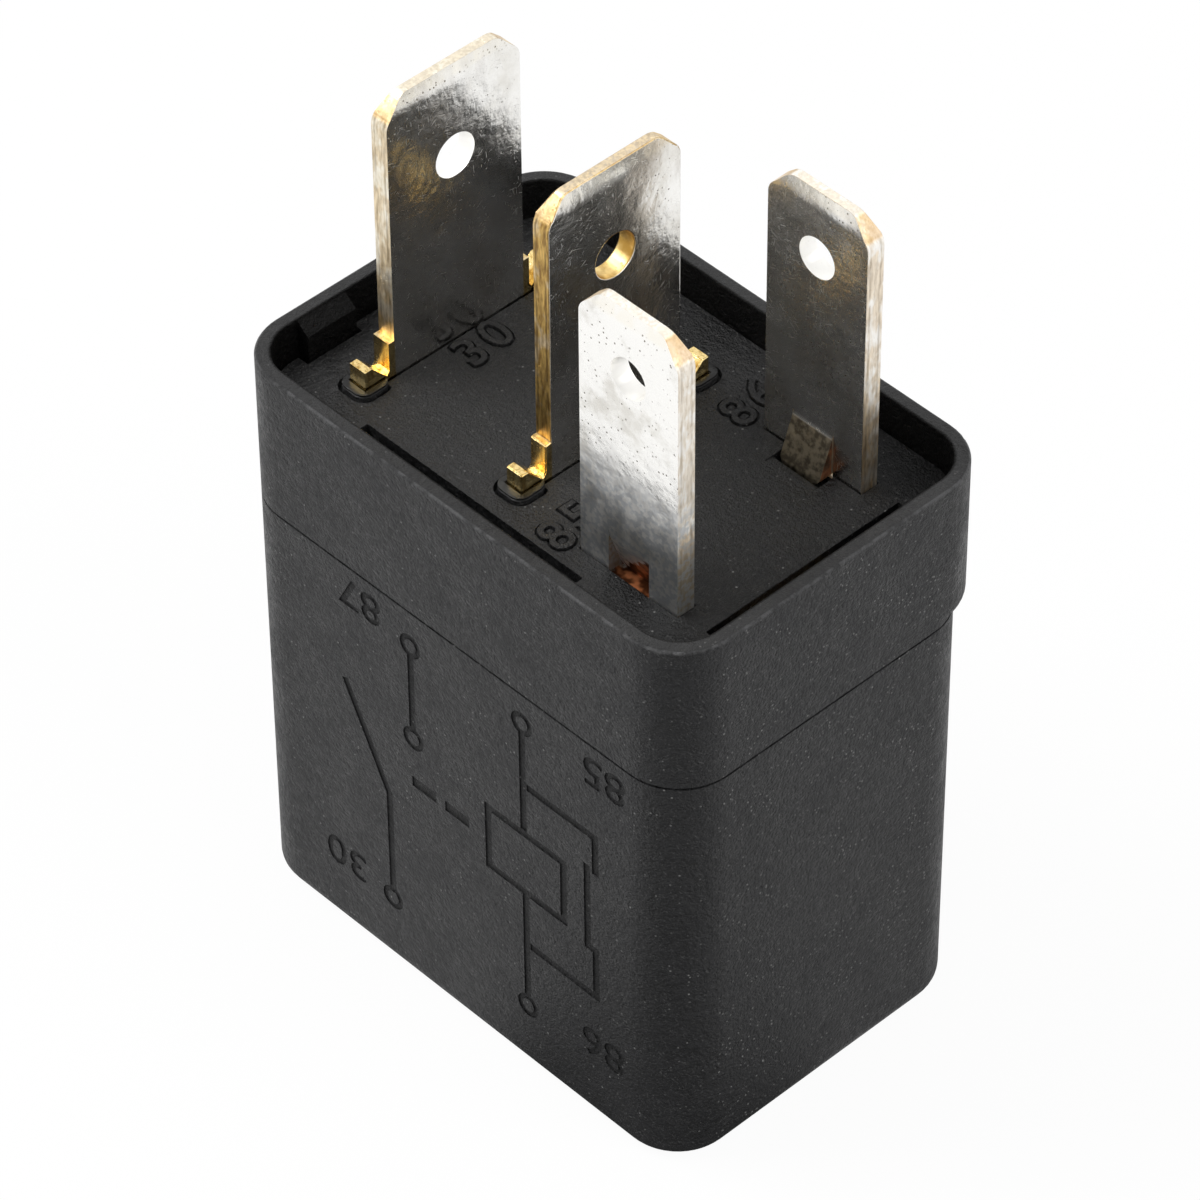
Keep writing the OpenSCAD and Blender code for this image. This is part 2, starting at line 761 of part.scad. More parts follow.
module bobbin() {
    tab_x1 = coil_blade_x + pin_w / 2 + tab_margin;
    color(nylon)
        translate(works)
        difference() {
            union() {
                translate([core_x, 0, bobbin_z0]) {
                    cylinder(h = bobbin_z1 - bobbin_z0, d = tube_d);
                    cylinder(h = flange_t, d = flange_d);
                    translate([0, 0, coil_l + flange_t])
                        cylinder(h = flange_t, d = flange_d);
                }
                // tabs that hold the coil pins
                for (s = [-1, 1])
                    translate([core_x, s * coil_pitch / 2 - blade_t / 2 - tab_margin,
                               bobbin_z1 - flange_t])
                        cube([tab_x1 - core_x, blade_t + 2 * tab_margin, flange_t]);
                stop_stirrup();
            }
            translate([core_x, 0, 0])
                cylinder(h = far, d = bore_d);
            for (s = [-1, 1])
                translate([coil_blade_x - pin_w / 2 - fit,
                           s * coil_pitch / 2 - blade_t / 2 - fit, 0])
                    cube([pin_w + 2 * fit, blade_t + 2 * fit, far]);
            // flat that clears the yoke
            translate([yoke_x1 + fit - far, -far / 2, 0])
                cube([far, far, far]);
        }
}

// U-shaped stop under the contact spring, moulded on the lower flange
module stop_stirrup() {
    bar_z0 = stop_z1 - stop_bar_h;
    w = stop_leg_y + stop_t;
    translate([stop_x, -w, bar_z0])
        cube([stop_t, 2 * w, stop_bar_h]);
    for (s = [-1, 1])
        translate([stop_x, s > 0 ? stop_leg_y : -w, bar_z0])
            cube([stop_t, stop_t, bobbin_z0 + flange_t - bar_z0]);
    translate([core_x + pole_d / 2, -w, bobbin_z0])
        cube([stop_x + stop_t - core_x - pole_d / 2, 2 * w, flange_t]);
}

module coil_winding() {
    color(copper)
        translate([core_x, works_y, bobbin_z0 + flange_t + fit])
            difference() {
                cylinder(h = coil_l - 2 * fit, d = coil_d);
                translate([0, 0, -over])
                    cylinder(h = coil_l + 2 * over, d = tube_d + 2 * fit);
            }
}

module armature() {
    color(iron)
        at_rest()
            difference() {
                rotate([90, 0, 0])
                    linear_extrude(armature_w, center = true)
                        polygon([[arm_x0, arm_z1], [arm_x1, arm_z1], [arm_x1, arm_z0],
                                 [arm_x0 + armature_t, arm_z0],
                                 [arm_x0, arm_z1 - knife_t]]);
                for (s = [-1, 1])
                    translate([arm_rivet_x, s * arm_rivet_y, arm_z0 - over])
                        cylinder(h = armature_t + 2 * over, r = rivet_r + fit);
            }
}

module contact_spring() {
    color(brass)
        difference() {
            translate(works)
                rotate([90, 0, 0])
                    linear_extrude(spring_w, center = true)
                        spring_outline();
            at_rest()
                spring_trim();
            for (s = [-1, 1])
                translate([yoke_x0 - over, works_y + s * arm_rivet_y, rivet_spring_z])
                    rotate([0, 90, 0])
                        cylinder(h = 2 * over, r = rivet_r + fit);
        }
}

// spring seen from the side: leg on the yoke, bend round the hinge and run under the armature
module spring_outline() {
    translate([yoke_x0 - fit - spring_t, bend_z])
        square([spring_t, spring_top_z - bend_z]);
    translate([bend_x, bend_z])
        intersection() {
            difference() {
                circle(spring_r + spring_t / 2);
                circle(spring_r - spring_t / 2);
            }
            polygon([[0, 0], [-far, 0], [-far, -far],
                     [-far * sin(open_angle), -far * cos(open_angle)]]);
        }
    translate([pivot[0], pivot[2]])
        rotate(-open_angle)
            translate([run_x0 - pivot[0], arm_z0 - fit - spring_t - pivot[2]])
                square([spring_x1 - run_x0, spring_t]);
}

// what narrows the spring's free end, and its holes
module spring_trim() {
    for (s = [-1, 1]) {
        translate([spring_neck_x, s > 0 ? spring_neck_w / 2 : -far - spring_neck_w / 2, 0])
            cube([far, far, arm_z1]);
        translate([arm_rivet_x, s * arm_rivet_y, 0])
            cylinder(h = arm_z1, r = rivet_r + fit);
    }
    translate([contact_x, 0, 0])
        cylinder(h = arm_z1, r = stem_r + fit);
}

module moving_contact() {
    under = arm_z0 - fit - spring_t;
    color(silver)
        at_rest()
            translate([contact_x, 0, 0]) {
                translate([0, 0, arm_z0])
                    cylinder(h = contact_h, d = contact_d);
                translate([0, 0, under - fit - lap])
                    cylinder(h = arm_z0 - under + fit + 2 * lap, r = stem_r);
                translate([0, 0, under - fit - stem_head_h])
                    cylinder(h = stem_head_h, r = stem_r + stem_head_out);
            }
}

module fixed_contact() {
    color(silver)
        translate([contact_x, works_y, 0]) {
            translate([0, 0, fixed_z0])
                cylinder(h = contact_h - fit, d = contact_d);
            translate([0, 0, fixed_z0 + lap])
                cylinder(h = contact_h + blade_t + fit, r = stem_r);
            translate([0, 0, strip_z0 + blade_t + fit])
                cylinder(h = stem_head_h, r = stem_r + stem_head_out);
        }
}

module armature_rivets() {
    under = arm_z0 - fit - spring_t;
    color(iron)
        at_rest()
            for (s = [-1, 1])
                translate([arm_rivet_x, s * arm_rivet_y, 0]) {
                    translate([0, 0, under - fit - lap])
                        cylinder(h = arm_z1 - under + fit + lap, r = rivet_r);
                    translate([0, 0, under - fit - rivet_head_h])
                        cylinder(h = rivet_head_h, r = rivet_head_r);
                }
}

module spring_rivets() {
    rivet_row(arm_rivet_y, rivet_spring_z, spring_t + fit);
}

module terminal_rivets() {
    rivet_row(rivet_leg_y, rivet_leg_z, blade_t);
}

// two rivets through the yoke and what lies on its outer face
module rivet_row(y, z, grip) {
    color(iron)
        for (s = [-1, 1])
            translate([yoke_x0 - grip, works_y + s * y, z])
                rotate([0, 90, 0]) {
                    translate([0, 0, -fit - lap])
                        cylinder(h = grip + yoke_t + fit + lap, r = rivet_r);
                    translate([0, 0, -fit - rivet_head_h])
                        cylinder(h = rivet_head_h, r = rivet_head_r);
                }
}

module resistor_body() {
    color(nylon)
        translate([coil_blade_x, works_y, resistor_z])
            rotate([90, 0, 0]) {
                cylinder(h = resistor_l - resistor_cap_l, d = resistor_d - 2 * resistor_neck,
                         center = true);
                for (s = [-1, 1])
                    translate([0, 0, s * (resistor_l - resistor_cap_l) / 2])
                        cylinder(h = resistor_cap_l, d = resistor_d, center = true);
            }
}

module resistor_leads() {
    l = pin_face_y - resistor_l / 2 - 2 * fit;
    color(tin)
        for (s = [-1, 1])
            translate([coil_blade_x, works_y + s * (resistor_l / 2 + fit + l / 2), resistor_z])
                rotate([90, 0, 0])
                    cylinder(h = l, d = lead_d, center = true);
}

// fine ends of the winding, from its outside to the pins
module coil_wires() {
    r = coil_d / 2 + wire_d / 2 + lap;
    z = bobbin_z1 - flange_t - wire_drop;
    color(copper)
        translate(works)
        for (s = [-1, 1]) {
            a = [core_x + r * cos(wire_start_a), s * r * sin(wire_start_a), z];
            b = [coil_blade_x - pin_w / 2 - fit, s * coil_pitch / 2, z];
            d = b - a;
            translate(a)
                rotate([0, 90, atan2(d[1], d[0])])
                    cylinder(h = norm(d) - wire_end_gap, d = wire_d);
        }
}

cover();
base_plate();
terminal_30();
terminal_87();
load_strip();
terminal_85();
terminal_86();
yoke();
core();
bobbin();
coil_winding();
armature();
contact_spring();
moving_contact();
fixed_contact();
armature_rivets();
spring_rivets();
terminal_rivets();
resistor_body();
resistor_leads();
coil_wires();
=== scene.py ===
import bpy
import bmesh
import json
from math import cos, sin, pi, radians, hypot, atan2
from mathutils import Matrix, Vector


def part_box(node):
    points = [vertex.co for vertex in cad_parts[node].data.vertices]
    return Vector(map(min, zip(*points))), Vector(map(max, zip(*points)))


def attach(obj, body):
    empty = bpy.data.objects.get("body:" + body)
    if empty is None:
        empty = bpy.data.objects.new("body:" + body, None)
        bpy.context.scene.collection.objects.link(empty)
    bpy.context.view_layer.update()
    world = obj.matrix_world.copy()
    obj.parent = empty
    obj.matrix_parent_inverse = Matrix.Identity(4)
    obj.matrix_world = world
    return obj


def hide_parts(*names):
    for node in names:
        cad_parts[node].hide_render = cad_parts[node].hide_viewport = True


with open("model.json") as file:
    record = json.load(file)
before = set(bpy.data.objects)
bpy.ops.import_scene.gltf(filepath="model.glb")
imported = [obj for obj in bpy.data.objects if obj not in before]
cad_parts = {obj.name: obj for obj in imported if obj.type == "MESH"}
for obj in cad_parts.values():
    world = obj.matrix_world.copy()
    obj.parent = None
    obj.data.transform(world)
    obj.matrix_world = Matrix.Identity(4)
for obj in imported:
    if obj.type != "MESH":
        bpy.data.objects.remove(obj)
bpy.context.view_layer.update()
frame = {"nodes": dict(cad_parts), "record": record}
NODES = frame["nodes"]
MOUNTS = {mount["name"]: mount for mount in frame["record"]["mounts"]}
MM = 0.001

# ---------------------------------------------------------------- places, in millimetres

CORNER = 2.35        # radius of the cover's upright corners
PAD = 0.2            # height of the pads round the prongs above the plate's face
LOAD_WIDTH = 6.3     # width of the blades 30 and 87
SHOULDER = 1.65      # top of their shoulders above the plate's face
LEAD_IN = 0.69       # height of the coined lead-in at a blade's tip
HOLE_EDGE = 1.03     # radius that just takes in each blade's hole
HOLE_DROP = {"x": 3.9, "y": 2.75}        # hole centre below the tip, by the blade's axis
TONGUE_HALF = 1.07   # half the width of the cut round a coil blade's tongue
TONGUE_ROOT = 1.86   # top of that cut above the plate's face
POCKET = 1.60        # far wall of a tongue's pocket from the middle of its blade

COVER_LOW, COVER_HIGH = [[c / MM for c in corner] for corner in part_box("cover")]
PAD_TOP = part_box("base_plate")[1][2] / MM
PLATE_FACE = PAD_TOP - PAD


class Blade:
    """Where a blade is, worked out from the mount of its detent hole."""

    def __init__(self, number):
        mount = MOUNTS["detent_" + number]
        self.hole = [c / MM for c in mount["pos_m"]]
        self.axis = "x" if abs(mount["axis"][0]) > 0.5 else "y"      # square to its faces
        self.tip = self.hole[2] + HOLE_DROP[self.axis]


BLADES = {number: Blade(number) for number in ("30", "87", "85", "86")}


# ---------------------------------------------------------------- material tools

class Field:
    """A value that varies over a surface: one output socket with arithmetic."""

    def __init__(self, look, socket):
        self.look = look
        self.socket = socket

    def _math(self, operation, *terms):
        return self.look.node("ShaderNodeMath", {"operation": operation}, dict(enumerate(terms)))

    def __add__(self, other):
        return self._math("ADD", self, other)

    __radd__ = __add__

    def __sub__(self, other):
        return self._math("SUBTRACT", self, other)

    def __rsub__(self, other):
        return self._math("SUBTRACT", other, self)

    def __mul__(self, other):
        return self._math("MULTIPLY", self, other)

    __rmul__ = __mul__

    def __truediv__(self, other):
        return self._math("DIVIDE", self, other)

    def __pow__(self, other):
        return self._math("POWER", self, other)

    def __abs__(self):
        return self._math("ABSOLUTE", self)

    def low(self, other):
        return self._math("MINIMUM", self, other)

    def high(self, other):
        return self._math("MAXIMUM", self, other)

    def rise(self, start, end):
        """0 below start, 1 above end, smooth between them."""
        return self.look.node("ShaderNodeMapRange", {"interpolation_type": "SMOOTHSTEP"},
                              {"Value": self, "From Min": start, "From Max": end})

    def fall(self, start, end):
        return 1.0 - self.rise(start, end)

    def above(self, edge, soft):
        """1 above edge and 0 below it, with a step that is soft to either side."""
        return self.rise(edge - soft, edge + soft)

    def below(self, edge, soft):
        return 1.0 - self.above(edge, soft)


class Look:
    """One material, built from nodes. Its patterns are sized in millimetres."""

    def __init__(self, name, roughness=0.5, metallic=0.0):
        self.material = bpy.data.materials.new(name)
        self.material.use_nodes = True
        self.tree = self.material.node_tree
        self.tree.nodes.clear()
        self.shader = self.tree.nodes.new("ShaderNodeBsdfPrincipled")
        self.output = self.tree.nodes.new("ShaderNodeOutputMaterial")
        self.feed(self.output.inputs["Surface"], Field(self, self.shader.outputs["BSDF"]))
        self.set("IOR", 1.5)
        self.set("Roughness", roughness)
        self.set("Metallic", metallic)
        place = self.node("ShaderNodeTexCoord", {}, {}, "Object")
        self.mm = self.node("ShaderNodeVectorMath", {"operation": "SCALE"},
                            {"Vector": place, "Scale": 1000.0})
        self.x, self.y, self.z = self.split(self.mm)

    def node(self, kind, settings, sockets, out=0):
        """Adds a node of a type, with its settings and sockets, and gives one output."""
        made = self.tree.nodes.new(kind)
        for key, value in settings.items():
            setattr(made, key, value)
        for key, value in sockets.items():
            self.feed(made.inputs[key], value)
        return Field(self, made.outputs[out])

    def feed(self, socket, value):
        if isinstance(value, Field):
            self.tree.links.new(value.socket, socket)
        else:
            socket.default_value = value

    def set(self, name, value):
        self.feed(self.shader.inputs[name], value)

    def split(self, vector):
        made = self.node("ShaderNodeSeparateXYZ", {}, {"Vector": vector}).socket.node
        return [Field(self, made.outputs[i]) for i in range(3)]

    def scaled(self, sx, sy, sz, turn=(0.0, 0.0, 0.0)):
        """Object place in millimetres, turned and then stretched."""
        turned = self.node("ShaderNodeMapping", {}, {"Vector": self.mm, "Rotation": turn})
        return self.node("ShaderNodeMapping", {}, {"Vector": turned, "Scale": (sx, sy, sz)})

    def noise(self, scale, detail=2.0, roughness=0.5, vector=None):
        return self.node("ShaderNodeTexNoise", {},
                         {"Vector": vector or self.mm, "Scale": scale, "Detail": detail,
                          "Roughness": roughness}, "Fac")

    def dots(self, scale, size, share):
        """Scattered round specks: 1 inside a speck. share is how many cells have one."""
        cells = self.node("ShaderNodeTexVoronoi", {},
                          {"Vector": self.mm, "Scale": scale}).socket.node
        near = Field(self, cells.outputs["Distance"])
        pick = self.split(Field(self, cells.outputs["Color"]))[0]
        return near.fall(size * 0.6, size) * pick.rise(1.0 - share - 0.01, 1.0 - share)

    def mix(self, factor, a, b):
        """Colour a where factor is 0 and b where it is 1."""
        made = self.node("ShaderNodeMix", {"data_type": "RGBA"}, {}).socket.node
        for i, value in ((0, factor), (6, a), (7, b)):
            self.feed(made.inputs[i], (*value, 1.0) if isinstance(value, tuple) else value)
        return Field(self, made.outputs[2])

    def tones(self, factor, pair):
        """From the darker tone of a pair to the lighter one."""
        return self.mix(factor, *pair)

    def blend(self, factor, a, b):
        return a + factor * (b - a)

    def bump(self, height, depth_mm, strength=1.0):
        normal = self.node("ShaderNodeBump", {},
                           {"Height": height, "Distance": depth_mm * MM, "Strength": strength})
        self.set("Normal", normal)

    def facing(self, axis):
        """How squarely the surface faces along an axis, 0 to 1."""
        normal = self.node("ShaderNodeTexCoord", {}, {}, "Normal")
        return abs(self.split(normal)["xyz".index(axis)])


def highest(fields):
    """The greatest of several fields."""
    total = fields[0]
    for field in fields[1:]:
        total = total.high(field)
    return total


def times(colour, factor):
    return tuple(min(1.0, c * factor) for c in colour)


# ---------------------------------------------------------------- black plastic

DUST = (0.24, 0.24, 0.233)
FIBRE = (0.15, 0.15, 0.148)
FIBRE_TURNS = ((0.3, 0.2, 0.4), (1.2, 0.7, 2.0), (2.3, 1.9, 0.9), (0.8, 2.5, 1.4))


def fibres(look):
    """Short pale glass fibres that show at the surface of a filled plastic."""
    streaks = highest([look.noise(1.0, 1.0, 0.4, look.scaled(2.6, 13.0, 13.0, turn))
                       .rise(0.655, 0.78) for turn in FIBRE_TURNS])
    patches = look.noise(0.7, 3.0).rise(0.35, 0.65)
    return streaks * (0.35 + 0.65 * patches)


def moulded_plastic(name, tone, roughness, specular):
    """Black glass-filled plastic, spark-textured, with dust and pale fibres.

    Gives the look, and its colour, roughness and height for the piece to change.
    """
    look = Look(name)
    look.set("Specular IOR Level", specular)
    grain = look.noise(8.5, 3.0, 0.62)
    coarse = look.noise(2.7, 4.0, 0.68)
    cloud = look.noise(0.55, 4.0, 0.65)
    base = look.mix(cloud.rise(0.32, 0.68), times(tone, 0.62), times(tone, 1.4))
    base = look.mix(grain.rise(0.45, 0.72) * 0.55, base, times(tone, 2.6))
    base = look.mix(coarse.rise(0.42, 0.66) * 0.5, base, times(tone, 2.0))
    pale = fibres(look)
    dust = look.dots(4.6, 0.22, 0.22) * look.noise(1.1, 1.0).rise(0.3, 0.7)
    base = look.mix(pale * 0.36, base, FIBRE)
    base = look.mix(dust * 0.85, base, DUST)
    rough = look.blend(coarse.rise(0.3, 0.7) * 0.55 + cloud.rise(0.3, 0.7) * 0.45,
                       roughness - 0.17, roughness + 0.17)
    height = grain * 1.5 + coarse * 2.0 + pale * 0.4
    return look, base, rough, height


def inside_of_cover(look):
    """1 on the inner faces, which lie within a smaller rounded rectangle."""
    out_x = (abs(look.x) - (COVER_HIGH[0] - CORNER)).high(0.0)
    out_y = (abs(look.y) - (COVER_HIGH[1] - CORNER)).high(0.0)
    return ((out_x * out_x + out_y * out_y) ** 0.5).below(CORNER - 0.51, 0.04)


def cover_plastic():
    """Plastic of the cover, darkened inside and in the engraving as painted shade; its rim's top
    and outer edge are paler, from wear and painted sheen and highlight.
    """
    look, base, rough, height = moulded_plastic(
        "textured_cover_plastic", (0.0080, 0.0080, 0.0086), 0.45, 0.315)
    front, top = COVER_LOW[1], COVER_HIGH[2]
    inside = inside_of_cover(look)
    # Painted shade: the cover's inner faces are coloured near black, as if in the recess's shadow.
    base = look.mix(inside, base, (0.0025, 0.0023, 0.0022))
    # Painted shade: the shallow engraved grooves are coloured darker, unevenly, as if shadowed.
    engraved = (look.y.rise(front + 0.015, front + 0.03) * look.y.fall(front + 0.2, front + 0.3)
                * look.z.fall(18.9, 19.0) * abs(look.x).fall(9.1, 9.2))
    uneven = look.noise(1.3, 3.0, 0.6).rise(0.30, 0.62)
    base = look.mix(engraved * (0.25 + 0.5 * uneven), base, (0.0015, 0.0015, 0.0016))
    # The rim's flat top is paler: partly wear, partly a painted sheen.
    rim_top_sheen_and_wear = look.z.rise(top - 0.10, top - 0.05) * (1.0 - inside)
    base = look.mix(rim_top_sheen_and_wear * 0.6, base, (0.022, 0.022, 0.0225))
    # Painted highlight with wear: the rounded outer edge of the rim is paler in patches.
    edge_highlight_and_wear = look.z.rise(top - 0.17, top - 0.06) * look.facing("z").fall(0.80, 0.97)
    patchy = look.noise(1.9, 3.0, 0.6).rise(0.36, 0.60)
    pale_areas = edge_highlight_and_wear * (0.15 + 0.85 * patchy) * (1.0 - inside)
    look.set("Base Color", look.mix(pale_areas * 0.55, base, (0.13, 0.13, 0.133)))
    look.set("Roughness", rough + engraved * 0.15)
    # Metallic on the inner faces dims their reflections too: more painted shade.
    look.set("Metallic", inside * 0.6)
    look.bump(height, 0.085)
    return look.material


def plate_plastic():
    """Plastic of the base plate, glossy on its pads, worn pale near its latched edge, and with
    painted shade towards +X.
    """
    look, base, rough, height = moulded_plastic(
        "textured_plate_plastic", (0.0080, 0.0080, 0.0083), 0.42, 0.34)
    glossy = look.z.above(PAD_TOP - PAD / 2, 0.03)
    # Painted shade: metallic over the near-black tone dims the plate's reflection towards +X.
    painted_shade_right = look.x.rise(1.0, 8.5)
    strokes = look.noise(1.0, 2.0, 0.5, look.scaled(9.0, 0.8, 1.0, (0.0, 0.0, 0.2)))
    pale_areas = look.x.fall(-8.6, -8.0) * strokes.rise(0.56, 0.70)
    base = look.mix(pale_areas * 0.5, base, (0.05, 0.05, 0.05))
    look.set("Base Color", look.mix(glossy * 0.8, base, (0.004, 0.004, 0.004)))
    look.set("Roughness", look.blend(glossy, rough, 0.15))
    look.set("Metallic", painted_shade_right * 0.5)
    look.bump(height * (1.0 - glossy * 0.8), 0.065)
    return look.material


# ---------------------------------------------------------------- tinned brass of the blades

# Each pair is the darker and the lighter tone.
TIN = ((0.80, 0.78, 0.73), (0.95, 0.94, 0.91))
WHITE_TIN = ((0.80, 0.73, 0.62), (0.98, 0.96, 0.92))
CREAM = ((0.72, 0.63, 0.46), (0.97, 0.92, 0.80))
DARKER_TONGUE_TIN = ((0.13, 0.11, 0.08), (0.34, 0.29, 0.21))
BRASS = ((0.30, 0.17, 0.05), (0.80, 0.54, 0.18))
BRIGHT_BRASS = ((0.50, 0.30, 0.07), (0.95, 0.74, 0.34))
COPPER_AND_PAINTED_LIGHT = ((0.06, 0.020, 0.008), (0.40, 0.155, 0.065))

CLEAN_TIN = (1.0, 0.99, 0.96)
TARNISH = (0.36, 0.31, 0.26)
SCRATCHED_TIN = (0.97, 0.96, 0.93)
COINED_TIN = (0.99, 0.94, 0.82)
BORE_TIN = (0.98, 0.97, 0.94)
PIT = (0.13, 0.10, 0.06)
FRACTURE = (0.16, 0.10, 0.04)
SEAM = (0.50, 0.33, 0.17)
SOIL = (0.22, 0.20, 0.16)
BLUE_HAZE = (0.45, 0.50, 0.56)

TIN_RELIEF = 0.024   # depth of the tin's waviness, mm


class BladeLook(Look):
    """Material of one blade, with its places and the patterns that its parts share."""

    def __init__(self, number):
        super().__init__("tin_plate_" + number, metallic=1.0)
        self.blade = BLADES[number]
        offsets = {"x": self.x - self.blade.hole[0], "y": self.y - self.blade.hole[1]}
        self.through = offsets.pop(self.blade.axis)
        self.along = offsets.popitem()[1]
        self.up = self.z - PLATE_FACE
        self.face = self.facing(self.blade.axis)
        self.ridge = highest([self.facing(axis) for axis in "xyz"]).fall(0.80, 0.93)
        self.cloud = self.noise(0.55, 4.0, 0.6)
        self.mottle = self.noise(1.3, 3.0, 0.5)
        self.fine = self.noise(4.5, 2.0, 0.5)
        self.shear = self.noise(1.0, 3.0, 0.6, self.scaled(7.0, 7.0, 1.3))
        self.smeared = self.noise(1.0, 3.0, 0.6, self.scaled(1.5, 1.5, 0.8)).rise(0.38, 0.58)

    def scratches(self):
        """Hairlines in three directions on the faces, gathered in patches."""
        if self.blade.axis == "x":
            grids = [self.scaled(1.1, 1.9, 30.0, (angle, 0.0, 0.0)) for angle in (0.35, 1.45, 2.5)]
        else:
            grids = [self.scaled(1.9, 1.1, 30.0, (0.0, angle, 0.0)) for angle in (0.35, 1.45, 2.5)]
        hairs = highest([self.noise(1.0, 1.0, 0.4, grid).rise(0.70, 0.76) for grid in grids])
        return hairs * self.noise(0.9, 2.0).rise(0.36, 0.62)

    def pits(self, share):
        """Small dark pits in patches, which the dull foot of a coil blade lacks."""
        patches = self.noise(0.8, 2.0).rise(0.42, 0.56)
        found = self.dots(5.5, 0.25, share) * (0.30 + 0.70 * patches)
        return found if self.blade.axis == "x" else found * self.up.rise(4.2, 6.0)

    def cut_edge(self, bare, cut_tin):
        """Colour of the sheared edges: smeared tin, and brass towards the foot."""
        bared = self.smeared * 0.5 + self.up.fall(0.5, 7.0) * 0.4 + (bare - 0.4)
        edge = self.mix(bared.high(0.0).low(1.0), self.tones(self.shear.rise(0.3, 0.65), cut_tin),
                        self.tones(self.shear.rise(0.3, 0.7), BRASS))
        fracture = (abs(abs(self.through) - 0.24).fall(0.02, 0.07)
                    * self.noise(1.2, 2.0).rise(0.35, 0.55))
        return self.mix(fracture * (0.25 + bare * 0.4), edge, FRACTURE)

    def prongs(self):
        """1 on the two-pronged foot of a load blade, outside its width."""
        return self.up.below(SHOULDER, 0.05) * abs(self.along).rise(LOAD_WIDTH / 2 - 0.05,
                                                                  LOAD_WIDTH / 2)

    def bore(self):
        """1 on the wall of the detent hole."""
        up = self.z - self.blade.hole[2]
        reach = (self.along * self.along + up * up) ** 0.5
        return reach.below(HOLE_EDGE, 0.03) * self.face.fall(0.5, 0.8)

    def tongue_cut(self):
        """1 on a coil blade where its tongue is cut free."""
        return abs(self.along).below(TONGUE_HALF, 0.03) * self.up.below(TONGUE_ROOT, 0.04)


# Copper tones where a foot is torn: bare copper, kept dark as painted shade in the gap beside
# blade 86's tongue, and laid over blade 85's tongue as a painted reflection of its copper walls.
def copper_and_painted_light(look, where, base, rough):
    tone = look.tones(look.noise(1.8, 2.0).rise(0.42, 0.62), COPPER_AND_PAINTED_LIGHT)
    return look.mix(where, base, tone), rough + where * 0.10


def bent_tongue(look, base, rough):
    """The foot seen from its tongue's side: darker tin, with copper at the torn sides, kept dark
    as painted shade in the gap there.
    """
    bent = look.tongue_cut() * look.through.below(-0.44, 0.02)
    # Painted shade with copper: the tongue's torn sides are coloured dark copper where the gap
    # beside them is shadowed.
    sides = bent * look.facing("x").rise(0.45, 0.7) * 0.8
    base = look.mix(bent * (1.0 - look.ridge * 0.6), base,
                    look.tones(look.fine.rise(0.35, 0.65), DARKER_TONGUE_TIN))
    return copper_and_painted_light(look, sides, base, rough + bent * 0.12)


def torn_window(look, base, rough):
    """The foot seen from the other side: hazed metal round a window with copper in it, bare on its
    torn walls and laid over the tongue as a painted reflection.
    """
    slant = 0.72 - look.up + look.along * 0.94 + (look.noise(2.6, 3.0) - 0.5) * 1.1
    # Copper here is partly the torn walls' own and partly a painted reflection of them on the
    # tongue.
    torn = look.tongue_cut() * look.through.above(-0.34, 0.04) * slant.rise(-0.05, 0.15)
    hazed = look.up.fall(3.6, 5.6)
    soiled = look.up.fall(1.5, 3.6) * (1.0 - look.face.rise(0.55, 0.80))
    base = look.mix(soiled * 0.75, base, SOIL)
    base = look.mix(hazed * look.fine.rise(0.40, 0.60) * 0.45, base, BLUE_HAZE)
    return copper_and_painted_light(look, torn, base, rough + hazed * 0.14)


